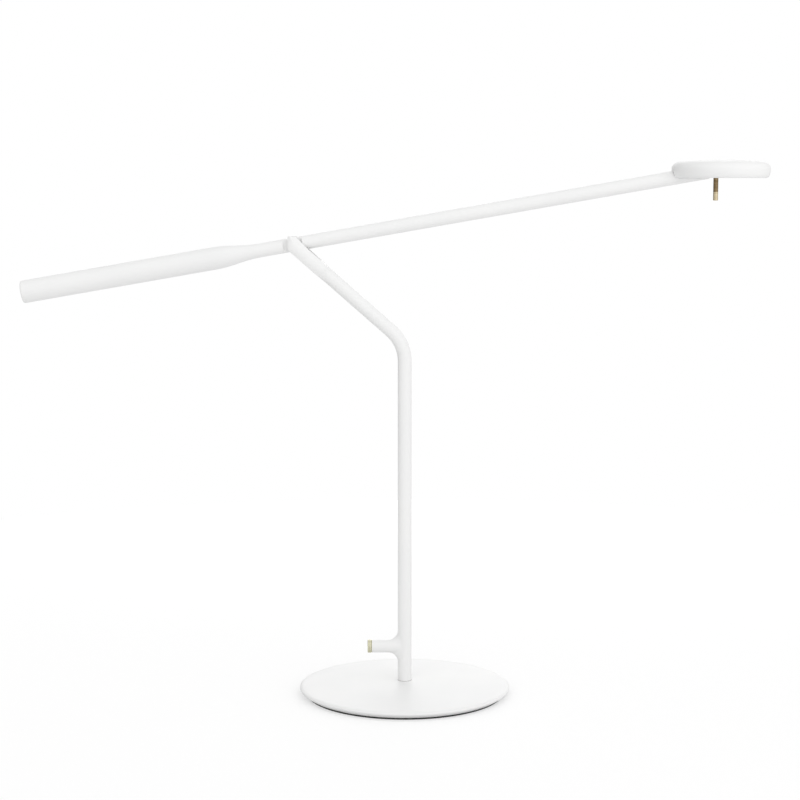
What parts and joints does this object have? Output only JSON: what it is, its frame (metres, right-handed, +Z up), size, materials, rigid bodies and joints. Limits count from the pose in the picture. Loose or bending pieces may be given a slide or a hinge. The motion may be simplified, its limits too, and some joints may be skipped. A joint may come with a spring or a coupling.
{
  "type": "counterweight balance desk lamp",
  "caption": "Slim white balance desk lamp: disc head, thin arm pivoting in a fork on a bent post, turned counterweight, round base, brass dimmer knob and handle pin.",
  "frame": {"origin": "middle of the foot pad's underside, on the table", "axes": "+Z up; +X towards the head along the lamp's middle plane, -X towards the counterweight; -Y is the front"},
  "size_m": [0.698, 0.1999, 0.5061],
  "materials": {
    "white_coated_steel": "satin white powder coat",
    "white_coated_aluminium": "satin white powder coat on aluminium",
    "bare_aluminium": "bare machined",
    "zinc_steel": "zinc plated",
    "black_rubber": "matt moulded rubber",
    "black_plastic": "moulded black plastic",
    "grey_fibre": "matt grey fibre",
    "white_board": "white solder mask",
    "led_phosphor": "yellow phosphor, unlit",
    "opal_acrylic": "opal acrylic, fine matt",
    "bronze": "sintered bronze",
    "yellow_brass": "turned brass, clear lacquer",
    "dark_bronze": "dark patinated brass"
  },
  "bodies": {
    "stand": {"foot_pad": "black_rubber", "base_plate": "white_coated_steel", "inlet_bush": "black_rubber", "post_spigot": "zinc_steel", "post_washer": "zinc_steel", "post_nut": "zinc_steel", "post_tube": "white_coated_steel", "dimmer_body": "black_plastic", "dimmer_nut": "yellow_brass", "fork_head": "white_coated_steel", "pivot_pin": "zinc_steel", "pivot_spring_washer": "zinc_steel", "pivot_friction_washers": "grey_fibre"},
    "arm": {"arm_hub": "white_coated_steel", "pivot_bush": "bronze", "arm_tube": "white_coated_steel", "counterweight": "white_coated_steel", "swivel_bush": "grey_fibre"},
    "swivel": {"swivel_eye": "white_coated_steel", "swivel_spring_washer": "zinc_steel", "swivel_nut": "zinc_steel"},
    "head": {"head_shell": "white_coated_aluminium", "hinge_bracket": "bare_aluminium", "head_hinge_pin": "zinc_steel", "head_friction_washers": "grey_fibre", "bracket_screws": "zinc_steel", "heat_plate": "bare_aluminium", "led_board": "white_board", "led_chips": "led_phosphor", "plate_screws": "zinc_steel", "diffuser": "opal_acrylic", "handle_stem": "dark_bronze", "handle_tip": "yellow_brass"},
    "dimmer": {"dimmer_shaft": "zinc_steel", "dimmer_knob": "yellow_brass"}
  },
  "joints": [
    {"name": "arm_tilt", "type": "hinge", "parent": "stand", "child": "arm", "pos_m": [-0.10431, 0, 0.4275], "axis": [0, -1, 0], "range_deg": [-25, 40]},
    {"name": "head_roll", "type": "hinge", "parent": "arm", "child": "swivel", "pos_m": [0.26096, 0, 0.49131], "axis": [0.9851, 0, 0.1721], "range_deg": [-90, 90]},
    {"name": "head_tilt", "type": "hinge", "parent": "swivel", "child": "head", "pos_m": [0.27948, 0, 0.49455], "axis": [0, 1, 0], "range_deg": [0, 35]},
    {"name": "dimmer_turn", "type": "hinge", "parent": "stand", "child": "dimmer", "pos_m": [-0.0312, 0, 0.0451], "axis": [-1, 0, 0], "range_deg": [-150, 150]}
  ]
}
